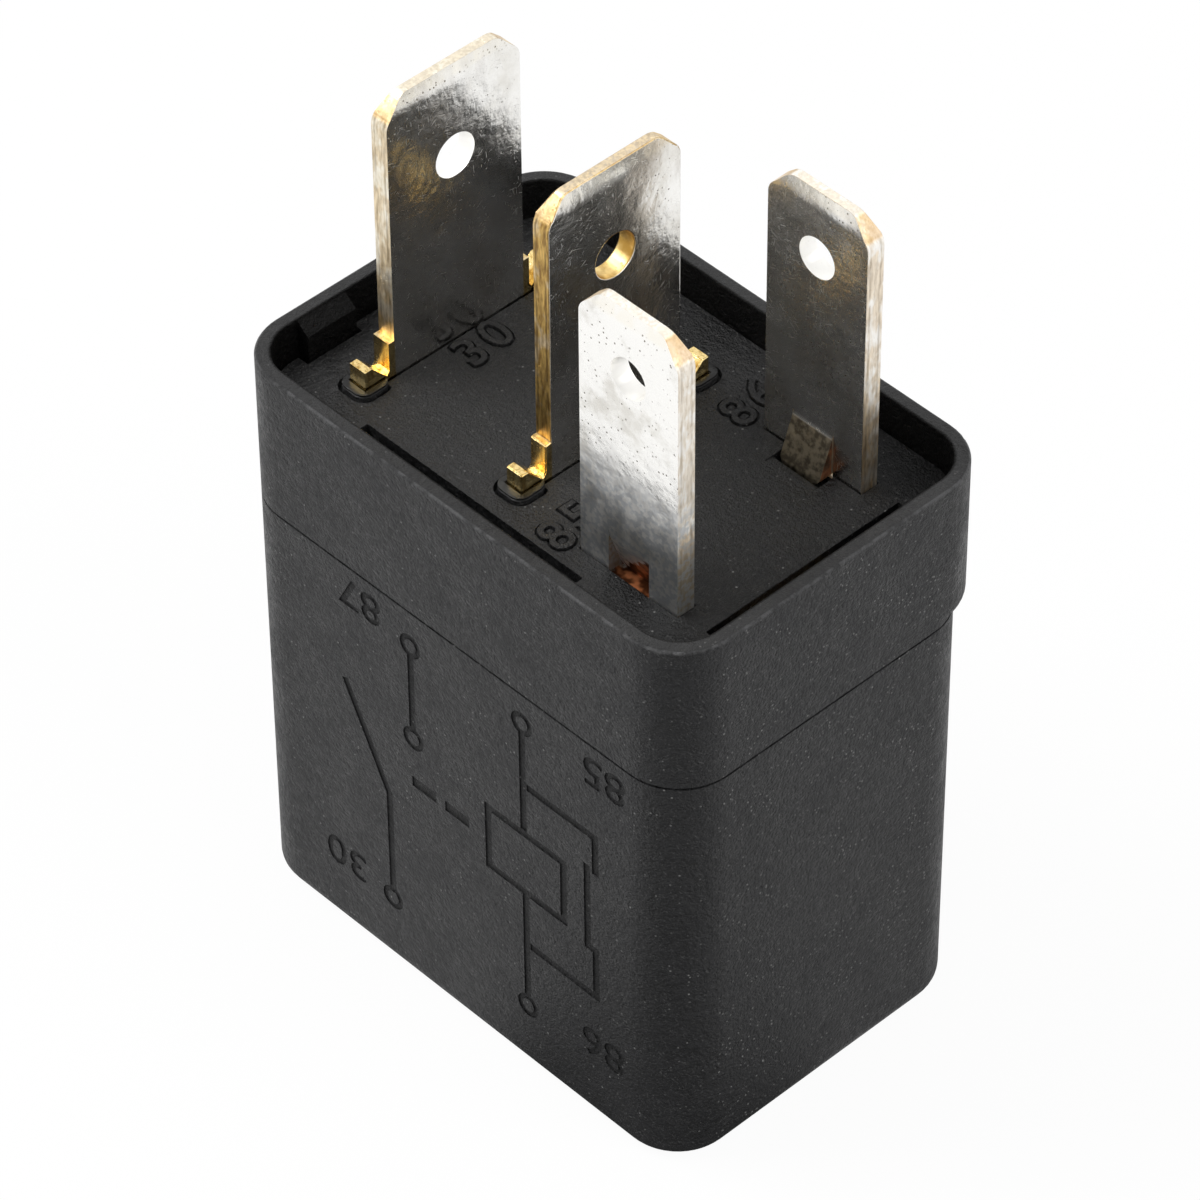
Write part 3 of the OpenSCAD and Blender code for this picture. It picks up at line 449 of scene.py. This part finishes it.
def tin_plate(number, bare, tarnish, cut_tin, haze, lean=0.0, clean=False, bare_hole=False,
              foot=None):
    """Rubbed tin over brass, for one blade.

    bare is how much brass its cut edges show, cut_tin the tones of their tin, tarnish
    how brown its faces are, haze how dull, and lean how far back they tilt. clean makes
    its tin white, bare_hole leaves its hole in brass, and foot finishes a torn foot.
    """
    look = BladeLook(number)
    scratch = look.scratches()
    pits = look.pits(0.35 + 0.9 * tarnish)
    brown = look.noise(1.0, 4.0, 0.65, look.scaled(0.50, 0.50, 0.26)).rise(0.44, 0.68)
    tin = look.tones(look.cloud.rise(0.35, 0.65), TIN)
    tin = look.mix(brown * tarnish, tin, TARNISH)
    if clean:
        tin = look.mix(look.cloud.rise(0.30, 0.50), tin, CLEAN_TIN)
    tin = look.mix(scratch * 0.35, tin, SCRATCHED_TIN)
    tin = look.mix(pits * 0.8, tin, PIT)
    base = look.mix(look.face.rise(0.55, 0.80), look.cut_edge(bare, cut_tin), tin)
    coined = look.z.above(look.blade.tip - LEAD_IN, 0.03) * look.facing("z").rise(0.1, 0.2)
    base = look.mix(coined * (0.15 + 0.35 * look.smeared), base, COINED_TIN)
    worn = look.ridge * (0.50 + 0.50 * look.smeared) * (0.50 + 0.45 * bare)
    base = look.mix(worn, base, look.tones(look.shear.rise(0.3, 0.7), BRIGHT_BRASS))
    seam = look.ridge * look.noise(0.9, 3.0).rise(0.30, 0.55)
    base = look.mix(seam * 0.6, base, SEAM)
    rough = (look.blend(look.mottle, haze - 0.04, haze + 0.05)
             + (1.0 - look.face.rise(0.80, 0.92)) * 0.22
             + pits * 0.22 + scratch * 0.14 + brown * 0.05)
    if look.blade.axis == "x":
        prongs = look.prongs()
        base = look.mix(prongs, base, look.tones(look.shear.rise(0.25, 0.6), BRIGHT_BRASS))
        rough = rough - prongs * 0.20
    bore_tone = look.tones(look.mottle.rise(0.35, 0.6), BRIGHT_BRASS) if bare_hole else BORE_TIN
    base = look.mix(look.bore(), base, bore_tone)
    if foot:
        base, rough = foot(look, base, rough)
    look.set("Base Color", base)
    look.set("Roughness", rough)
    waves = (look.cloud * 0.9 + look.mottle * 1.2 + look.fine * 0.14) * (1.0 - look.ridge * 0.75)
    look.bump(waves - pits * 0.25 - scratch * 0.05 - look.z * lean / TIN_RELIEF, TIN_RELIEF)
    return look.material


# ---------------------------------------------------------------- materials of the works

def plain_metal(name, colour, roughness, grain=(1.2, 1.2, 14.0)):
    """Brushed sheet or turned metal, with the grain stretched by the given scales."""
    look = Look(name, metallic=1.0)
    brushed = look.noise(1.0, 3.0, 0.6, look.scaled(*grain))
    cloud = look.noise(0.9, 3.0)
    base = look.mix(cloud.rise(0.3, 0.7), times(colour, 0.82), colour)
    look.set("Base Color", look.mix(brushed.rise(0.5, 0.75) * 0.3, base, times(colour, 1.25)))
    look.set("Roughness", look.blend(brushed, roughness - 0.05, roughness + 0.1))
    look.bump(brushed + cloud, 0.01, 0.4)
    return look.material


def enamelled_wire():
    """Copper wire under clear red-brown enamel."""
    look = Look("enamelled_copper_wire", metallic=0.85)
    tone = look.noise(0.8, 3.0)
    look.set("Base Color", look.mix(tone.rise(0.3, 0.7), (0.42, 0.12, 0.045), (0.68, 0.27, 0.10)))
    look.set("Roughness", look.blend(tone, 0.2, 0.36))
    look.bump(look.noise(4.0, 2.0), 0.008, 0.4)
    return look.material


def bobbin_nylon():
    """Undyed nylon."""
    look = Look("natural_bobbin_nylon")
    tone = look.noise(0.7, 3.0)
    look.set("Base Color", look.mix(tone.rise(0.3, 0.7), (0.60, 0.57, 0.48), (0.72, 0.70, 0.61)))
    look.set("Roughness", look.blend(tone, 0.36, 0.52))
    look.bump(look.noise(6.0, 3.0), 0.01, 0.5)
    return look.material


def banded_lacquer():
    """Resistor lacquer with generic colour rings."""
    look = Look("banded_resistor_lacquer", roughness=0.3)
    base = look.mix(look.noise(2.0, 2.0).rise(0.3, 0.7), (0.16, 0.30, 0.40), (0.20, 0.36, 0.46))
    low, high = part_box("resistor_body")
    middle = (low[1] + high[1]) / 2 / MM
    for place, colour in ((-1.35, (0.20, 0.05, 0.15)), (-0.65, (0.45, 0.03, 0.02)),
                          (0.05, (0.02, 0.02, 0.02)), (1.35, (0.50, 0.32, 0.08))):
        ring = abs(look.y - (middle + place)).below(0.16, 0.02)
        base = look.mix(ring, base, colour)
    look.set("Base Color", base)
    look.bump(look.noise(3.0, 2.0), 0.01, 0.4)
    return look.material


# ---------------------------------------------------------------- which piece has which look

cover_look = cover_plastic()
plate_look = plate_plastic()
tin_30 = tin_plate("30", 0.35, 0.35, CREAM, 0.19)
tin_87 = tin_plate("87", 0.95, 0.45, CREAM, 0.19, bare_hole=True)
tin_85 = tin_plate("85", 0.10, 0.08, WHITE_TIN, 0.23, lean=0.045, clean=True, foot=torn_window)
tin_86 = tin_plate("86", 0.25, 0.45, WHITE_TIN, 0.23, foot=bent_tongue)
iron_look = plain_metal("zinc_flashed_iron", (0.50, 0.49, 0.46), 0.34)
bronze_look = plain_metal("rolled_spring_bronze", (0.74, 0.44, 0.22), 0.26, (14.0, 1.2, 1.2))
silver_look = plain_metal("contact_silver_alloy", (0.86, 0.85, 0.82), 0.24)
wire_look = enamelled_wire()
nylon_look = bobbin_nylon()
lacquer_look = banded_lacquer()

NODE_LOOKS = {
    "cover": cover_look, "base_plate": plate_look,
    "terminal_30": tin_30, "terminal_87": tin_87, "load_strip": tin_87,
    "terminal_85": tin_85, "terminal_86": tin_86,
    "yoke": iron_look, "core": iron_look, "armature": iron_look,
    "armature_rivets": iron_look, "spring_rivets": iron_look, "terminal_rivets": iron_look,
    "contact_spring": bronze_look, "moving_contact": silver_look, "fixed_contact": silver_look,
    "bobbin": nylon_look, "coil_winding": wire_look, "coil_wires": wire_look,
    "resistor_body": lacquer_look, "resistor_leads": tin_30,
}
for name, node in NODES.items():
    node.data.materials.clear()
    node.data.materials.append(NODE_LOOKS[name])


# ---------------------------------------------------------------- shape tools

CREASE = 35.0        # edges steeper than this stay crisp, degrees
RELAY = "relay"      # the body that every new piece rides on


def finish_piece(name, bm, look, crease=CREASE):
    """Makes an object of a bmesh, given in metres where it belongs."""
    bmesh.ops.recalc_face_normals(bm, faces=bm.faces)
    mesh = bpy.data.meshes.new(name)
    bm.to_mesh(mesh)
    bm.free()
    mesh.materials.clear()
    mesh.materials.append(look)
    plain_normals(mesh, crease)
    made = bpy.data.objects.new(name, mesh)
    bpy.context.collection.objects.link(made)
    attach(made, RELAY)
    return made


def plain_normals(mesh, crease=CREASE):
    """Drops carried normals, so that shading follows the faces."""
    if "custom_normal" in mesh.attributes:
        mesh.attributes.remove(mesh.attributes["custom_normal"])
    mesh.shade_smooth()
    mesh.set_sharp_from_angle(angle=radians(crease))


def merged_copy(name):
    """The CAD piece as one clean skin, with its flat faces whole."""
    bm = bmesh.new()
    bm.from_mesh(NODES[name].data)
    bmesh.ops.remove_doubles(bm, verts=bm.verts, dist=2e-7)
    bmesh.ops.dissolve_limit(bm, angle_limit=radians(0.5), verts=bm.verts, edges=bm.edges)
    return bm


def even_faces(piece):
    """Keeps flat faces flat in the shading beside rounded edges."""
    weighted = piece.modifiers.new("even", "WEIGHTED_NORMAL")
    weighted.weight = 100
    weighted.keep_sharp = True


def soft_edged(name, bm, look, width, segments=2, crease=CREASE):
    """A piece with its edges rolled over by the press or the mould."""
    piece = finish_piece(name, bm, look, crease)
    edge = piece.modifiers.new("edge", "BEVEL")
    edge.width = width * MM
    edge.segments = segments
    edge.limit_method = "ANGLE"
    edge.angle_limit = radians(30.0)
    return piece


def evaluated_mesh(holder):
    """New mesh of an object as its modifiers or its curve make it."""
    bpy.context.view_layer.update()
    return bpy.data.meshes.new_from_object(holder.evaluated_get(
        bpy.context.evaluated_depsgraph_get()))


def settle(piece):
    """Makes what the modifiers do part of the mesh."""
    result = evaluated_mesh(piece)
    piece.modifiers.clear()
    old = piece.data
    piece.data = result
    bpy.data.meshes.remove(old)


def carve(piece, cutter_bm):
    """Takes a shape out of a piece."""
    bmesh.ops.recalc_face_normals(cutter_bm, faces=cutter_bm.faces)
    mesh = bpy.data.meshes.new("cutter")
    cutter_bm.to_mesh(mesh)
    cutter_bm.free()
    cutter = bpy.data.objects.new("cutter", mesh)
    bpy.context.collection.objects.link(cutter)
    cut = piece.modifiers.new("carve", "BOOLEAN")
    cut.operation = "DIFFERENCE"
    cut.solver = "EXACT"
    cut.use_self = True
    cut.object = cutter
    settle(piece)
    bpy.data.objects.remove(cutter)
    plain_normals(piece.data)
    even_faces(piece)


def join_into(target, source, matrix):
    """Adds one bmesh to another, placed by a matrix."""
    bmesh.ops.transform(source, matrix=matrix, verts=source.verts)
    mesh = bpy.data.meshes.new("part")
    source.to_mesh(mesh)
    source.free()
    target.from_mesh(mesh)
    bpy.data.meshes.remove(mesh)


FONT_HEIGHT = 0.7    # height of the font's numerals at size 1


def numerals(text, height, thickness, bevel=0.0, weight=0.0):
    """Mesh of plain numerals, in metres, centred on the origin, in the XY plane."""
    curve = bpy.data.curves.new("numerals", "FONT")
    curve.body = text
    curve.size = height / FONT_HEIGHT
    curve.extrude = thickness / 2
    curve.bevel_depth = bevel
    curve.bevel_resolution = 1
    curve.offset = weight
    curve.resolution_u = 3
    holder = bpy.data.objects.new("numerals", curve)
    bpy.context.collection.objects.link(holder)
    mesh = evaluated_mesh(holder)
    bpy.data.objects.remove(holder)
    bm = bmesh.new()
    bm.from_mesh(mesh)
    bpy.data.meshes.remove(mesh)
    bmesh.ops.remove_doubles(bm, verts=bm.verts, dist=1e-7)
    low = Vector([min(v.co[i] for v in bm.verts) for i in range(3)])
    high = Vector([max(v.co[i] for v in bm.verts) for i in range(3)])
    bmesh.ops.translate(bm, vec=-(low + high) / 2, verts=bm.verts)
    return bm


# ---------------------------------------------------------------- cover with its wiring diagram

LINE = 0.34          # width of the engraved lines, mm
DASH = 0.50          # width of the two dashes between contact and coil, mm
DEPTH = 0.05         # depth of the engraving, mm
RING = 0.42          # radius of the terminal rings, mm
RING_LINE = 0.24     # width of their line, mm
DIGIT = 1.38         # height of the terminal numbers, mm
DIGIT_STRETCH = 1.16                     # their width, against the font's

# Terminal rings, and the numbers beside them: x and z of the middle, mm.
RINGS = ((-2.18, 17.46), (-2.17, 12.82), (-3.62, 3.48), (3.63, 17.71), (3.70, 3.26))
NUMBERS = (("87", -4.85, 17.87), ("30", -6.18, 3.74), ("85", 7.83, 17.85), ("86", 7.70, 3.91))

# Each wire is a run of straight lines through the given places, mm.
WIRES = (
    ((-2.18, 16.85), (-2.18, 13.42)),                                        # fixed contact
    ((-5.75, 13.23), (-3.66, 9.09)),                                         # moving contact
    ((-3.60, 8.78), (-3.59, 4.08)),
    ((1.75, 12.20), (5.68, 12.20), (5.68, 9.22), (1.76, 9.22), (1.75, 12.20)),      # coil
    ((3.63, 17.10), (3.64, 12.55)),
    ((3.69, 8.90), (3.70, 3.87)),
    ((4.00, 14.68), (7.33, 14.67), (7.34, 12.95)),                           # to the resistor
    ((6.91, 12.90), (6.92, 8.91), (7.34, 8.91)),                             # resistor's side
    ((7.34, 8.76), (7.35, 6.54)),                                            # and back
    ((7.35, 6.52), (4.05, 6.52)),
)
DASHES = (((-2.05, 10.60), (-1.28, 10.60)), ((-0.30, 10.59), (0.48, 10.59)))


def add_bar(bm, start, end, width, depth):
    """Bar in the XZ plane of the sheet, centred on depth 0, with square ends."""
    (x0, z0), (x1, z1) = start, end
    length = hypot(x1 - x0, z1 - z0)
    made = bmesh.ops.create_cube(bm, size=1.0)["verts"]
    bmesh.ops.scale(bm, vec=(length + width, depth, width), verts=made)
    bmesh.ops.rotate(bm, matrix=Matrix.Rotation(-atan2(z1 - z0, x1 - x0), 3, "Y"), verts=made)
    bmesh.ops.translate(bm, vec=((x0 + x1) / 2, 0.0, (z0 + z1) / 2), verts=made)


def add_ring(bm, centre, radius, width, depth, steps=28):
    """Square-sectioned ring that lies in the XZ plane."""
    ring = bmesh.new()
    corners = [ring.verts.new((radius + a * width / 2, b * depth / 2, 0.0))
               for a, b in ((-1, -1), (1, -1), (1, 1), (-1, 1))]
    sides = [ring.edges.new((a, b)) for a, b in zip(corners, corners[1:] + corners[:1])]
    bmesh.ops.spin(ring, geom=[*corners, *sides], cent=(0, 0, 0), axis=(0, 1, 0),
                   dvec=(0, 0, 0), angle=2 * pi, steps=steps, use_merge=True)
    bmesh.ops.remove_doubles(ring, verts=ring.verts, dist=1e-5)
    join_into(bm, ring, Matrix.Translation((centre[0], 0.0, centre[1])))


def wiring_diagram():
    """Cutter for the diagram on the long side, in metres: x, z as on that side."""
    bm = bmesh.new()
    for centre in RINGS:
        add_ring(bm, centre, RING, RING_LINE, 2 * DEPTH)
    for wire in WIRES:
        for start, end in zip(wire, wire[1:]):
            add_bar(bm, start, end, LINE, 2 * DEPTH)
    for start, end in DASHES:
        add_bar(bm, start, end, DASH, 2 * DEPTH)
    bmesh.ops.scale(bm, vec=(MM, MM, MM), verts=bm.verts)
    upside_down = Matrix(((-1, 0, 0, 0), (0, 0, -1, 0), (0, -1, 0, 0), (0, 0, 0, 1)))
    stretch = Matrix.Diagonal((DIGIT_STRETCH, 1.0, 1.0, 1.0))
    for text, x, z in NUMBERS:
        glyphs = numerals(text, DIGIT * MM, 2 * DEPTH * MM, weight=0.025 * MM)
        join_into(bm, glyphs, Matrix.Translation((x * MM, 0, z * MM)) @ upside_down @ stretch)
    return bm


def engraved_cover():
    """The cover with the diagram cut into its front."""
    shell = finish_piece("cover_shell", merged_copy("cover"), cover_look)
    diagram = wiring_diagram()
    bmesh.ops.translate(diagram, vec=(0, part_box("cover")[0][1], 0), verts=diagram.verts)
    carve(shell, diagram)
    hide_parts("cover")


engraved_cover()


# ---------------------------------------------------------------- blades

TIP_ZONE = 1.2       # how far down a blade its tip's corners reach, mm
TIP_ROUND = 0.32     # radius at the corners of the blades' tips, mm
PRESS_EDGE = 0.10    # radius of their other edges, mm


def stamped_blade(number):
    """The blade with its tip's corners and its edges rounded by the press."""
    blade = BLADES[number]
    node = "terminal_" + number
    axis = "xy".index(blade.axis)
    bm = merged_copy(node)
    corners = []
    for edge in bm.edges:
        reach = edge.verts[1].co - edge.verts[0].co
        lowest = min(v.co.z for v in edge.verts)
        if lowest > (blade.tip - TIP_ZONE) * MM and abs(reach[axis]) > 0.98 * reach.length:
            corners.append(edge)
    bmesh.ops.bevel(bm, geom=corners, affect="EDGES", offset=TIP_ROUND * MM,
                    offset_type="OFFSET", segments=4, profile=0.5, clamp_overlap=True,
                    material=-1)
    piece = soft_edged("stamped_blade_" + number, bm, NODE_LOOKS[node],
                       PRESS_EDGE, 3, 20.0)
    even_faces(piece)
    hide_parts(node)


for blade_number in BLADES:
    stamped_blade(blade_number)


# ---------------------------------------------------------------- base plate

# The terminal numbers on the base plate: digit, x and y of its centre, mm.
PLATE_DIGITS = (("3", -6.66, -0.53), ("0", -6.78, 0.80), ("8", 2.48, -4.95),
                ("5", 2.30, -3.65), ("8", 2.28, 4.12), ("6", 2.15, 5.42))
PLATE_DIGIT = 1.5    # height of these digits, mm
MOULD_EDGE = 0.04    # radius of the plate's edges, mm
MOAT = 0.10          # width and depth of the groove round each digit, mm


def plate_digits(thickness, bevel, weight):
    """The digits in metres, flat at the plate's face; they read along +Y."""
    reading = Matrix(((0, -1, 0, 0), (1, 0, 0, 0), (0, 0, 1, 0), (0, 0, 0, 1)))
    bm = bmesh.new()
    for digit, x, y in PLATE_DIGITS:
        glyph = numerals(digit, PLATE_DIGIT * MM, thickness * MM, bevel * MM, weight * MM)
        place = Matrix.Translation((x * MM, y * MM, PLATE_FACE * MM))
        join_into(bm, glyph, place @ reading)
    return bm


def numbered_plate():
    """Base plate with its numbers standing in shallow moats."""
    piece = soft_edged("moulded_plate", merged_copy("base_plate"), plate_look,
                       MOULD_EDGE)
    settle(piece)
    carve(piece, plate_digits(2 * MOAT, 0.0, MOAT))
    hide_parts("base_plate")
    digits = plate_digits(0.16, 0.03, -0.01)
    bmesh.ops.translate(digits, vec=(0, 0, -0.03 * MM), verts=digits.verts)
    finish_piece("plate_numerals", digits, plate_look)


numbered_plate()

SILL = 0.38          # how much of a tongue's pocket its sill fills, mm
SILL_WIDTH = 2.3     # width of the pocket that it closes, mm
SILL_HEIGHT = 0.5
SILL_DROP = 0.28     # its middle below the plate's face, mm


def tongue_sills():
    """Plate plastic that closes the pockets up to the tongues of the coil blades."""
    bm = bmesh.new()
    for number in ("85", "86"):
        x, y, _ = BLADES[number].hole
        inward = 1.0 if y < 0.0 else -1.0
        made = bmesh.ops.create_cube(bm, size=1.0)["verts"]
        bmesh.ops.scale(bm, vec=(SILL_WIDTH, SILL, SILL_HEIGHT), verts=made)
        bmesh.ops.translate(bm, vec=(x, y + inward * (POCKET - SILL / 2), PLATE_FACE - SILL_DROP),
                            verts=made)
    bmesh.ops.bevel(bm, geom=bm.edges[:], affect="EDGES", offset=0.06, segments=2,
                    profile=0.5, material=-1)
    bmesh.ops.scale(bm, vec=(MM, MM, MM), verts=bm.verts)
    finish_piece("tongue_sills", bm, plate_look)


tongue_sills()


# ---------------------------------------------------------------- winding

TURNS = 56           # turns that show along the winding
CORE_SHARE = 0.55    # radius at which its hidden inside is closed, against the outside
SAG = 0.45           # depth of the valley between turns, in pitches


def winding():
    """Close layer of wire turns on the bobbin."""
    low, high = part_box("coil_winding")
    x, y = (low[0] + high[0]) / 2, (low[1] + high[1]) / 2
    outer = (high[0] - low[0]) / 2
    pitch = (high[2] - low[2]) / TURNS
    bm = bmesh.new()
    points = [(outer * CORE_SHARE, low[2])]
    for turn in range(TURNS):
        for part in (0.0, 0.25, 0.5, 0.75):
            valley = pitch * SAG * (1 - sin(part * pi))
            points.append((outer - valley, low[2] + (turn + part) * pitch))
    points.append((outer * CORE_SHARE, high[2]))
    chain = [bm.verts.new((x + r, y, z)) for r, z in points]
    edges = [bm.edges.new((a, b)) for a, b in zip(chain, chain[1:] + chain[:1])]
    bmesh.ops.spin(bm, geom=[*chain, *edges], cent=(x, y, 0), axis=(0, 0, 1),
                   dvec=(0, 0, 0), angle=2 * pi, steps=64, use_merge=True)
    piece = finish_piece("wire_turns", bm, wire_look, 70.0)
    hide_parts("coil_winding")


winding()


# ---------------------------------------------------------------- stage, light and camera

VIEW_AZIMUTH, VIEW_ELEVATION, VIEW_ROLL = radians(46.61), radians(43.61), radians(-0.45)
VIEW_PLACE = (0.123456, -0.117230, 0.178251)
LENS = 195.0
WORLD_LIGHT = 0.55   # strength of the world as a light; seen or reflected, it is white


def stage_floor():
    """White table, whose reflection is greyer beside the relay and dark in front."""
    bm = bmesh.new()
    bmesh.ops.create_grid(bm, x_segments=1, y_segments=1, size=3.0)
    mesh = bpy.data.meshes.new("floor")
    bm.to_mesh(mesh)
    bm.free()
    look = Look("pale_floor", roughness=0.9)
    path = look.node("ShaderNodeLightPath", {}, {}).socket.node
    camera_ray = Field(look, path.outputs["Is Camera Ray"])
    glossy_ray = Field(look, path.outputs["Is Glossy Ray"])
    reach = (abs(look.x) - COVER_HIGH[0]).high(abs(look.y) - COVER_HIGH[1])
    right = look.x.rise(COVER_HIGH[0], COVER_HIGH[0] + 0.5)
    away = look.blend(right, 0.53 + 0.45 * reach.rise(0.0, 18.0),
                      0.30 + 0.68 * reach.rise(0.0, 26.0))
    ahead = look.x * sin(VIEW_AZIMUTH) - look.y * cos(VIEW_AZIMUTH)
    aside = look.x * cos(VIEW_AZIMUTH) + look.y * sin(VIEW_AZIMUTH)
    front = ahead.rise(2.0, 9.0) * (abs(aside) / ahead.high(1.0)).fall(0.40, 1.30)
    seen = (camera_ray * 0.95).high(glossy_ray * away * (1.0 - 0.92 * front))
    look.set("Base Color", look.mix(front * glossy_ray * 0.85, (0.86, 0.86, 0.86),
                                    (0.04, 0.04, 0.04)))
    paint = Field(look, look.shader.outputs["BSDF"])
    glow = look.node("ShaderNodeEmission", {}, {})
    look.feed(look.output.inputs["Surface"],
              look.node("ShaderNodeMixShader", {}, {0: seen, 1: paint, 2: glow}))
    mesh.materials.append(look.material)
    floor = bpy.data.objects.new("floor", mesh)
    floor.location = (0, 0, -0.00002)
    bpy.context.collection.objects.link(floor)


def soft_lamp(name, place, size, power, aim=(0, 0, 0.018)):
    """Square softbox that points at the relay."""
    lamp = bpy.data.lights.new(name, "AREA")
    lamp.shape = "SQUARE"
    lamp.size = size
    lamp.energy = power
    made = bpy.data.objects.new(name, lamp)
    made.location = place
    direction = Vector(aim) - Vector(place)
    made.rotation_euler = direction.to_track_quat("-Z", "Y").to_euler()
    bpy.context.collection.objects.link(made)


def white_world():
    """World that lights the relay softly and looks white in itself and in gloss."""
    world = bpy.data.worlds.new("studio")
    bpy.context.scene.world = world
    world.use_nodes = True
    tree = world.node_tree
    tree.nodes.clear()
    output = tree.nodes.new("ShaderNodeOutputWorld")
    plain = tree.nodes.new("ShaderNodeBackground")
    plain.inputs["Color"].default_value = (1, 1, 1, 1)
    path = tree.nodes.new("ShaderNodeLightPath")
    seen = tree.nodes.new("ShaderNodeMath")
    seen.operation = "MAXIMUM"
    tree.links.new(path.outputs["Is Camera Ray"], seen.inputs[0])
    tree.links.new(path.outputs["Is Glossy Ray"], seen.inputs[1])
    level = tree.nodes.new("ShaderNodeMapRange")
    level.inputs["To Min"].default_value = WORLD_LIGHT
    level.inputs["To Max"].default_value = 1.0
    tree.links.new(seen.outputs[0], level.inputs["Value"])
    tree.links.new(level.outputs[0], plain.inputs["Strength"])
    tree.links.new(plain.outputs[0], output.inputs["Surface"])


def camera():
    """Long lens from the front right, looking down on the relay."""
    back = Vector((sin(VIEW_AZIMUTH) * cos(VIEW_ELEVATION),
                   -cos(VIEW_AZIMUTH) * cos(VIEW_ELEVATION), sin(VIEW_ELEVATION)))
    right = Vector((cos(VIEW_AZIMUTH), sin(VIEW_AZIMUTH), 0.0))
    up = back.cross(right)
    tilted_right = cos(VIEW_ROLL) * right + sin(VIEW_ROLL) * up
    tilted_up = -sin(VIEW_ROLL) * right + cos(VIEW_ROLL) * up
    data = bpy.data.cameras.new("camera")
    data.lens = LENS
    data.sensor_width = 36.0
    data.clip_start = 0.01
    data.clip_end = 20.0
    made = bpy.data.objects.new("camera", data)
    turn = Matrix((tilted_right, tilted_up, back)).transposed()
    made.matrix_world = Matrix.Translation(VIEW_PLACE) @ turn.to_4x4()
    bpy.context.collection.objects.link(made)
    bpy.context.scene.camera = made


stage_floor()
white_world()
soft_lamp("key_softbox", (-0.35, -0.25, 0.55), 0.35, 3.0)
soft_lamp("fill_softbox", (0.45, 0.10, 0.45), 0.30, 1.1)
camera()
bpy.context.scene.view_settings.view_transform = "Standard"
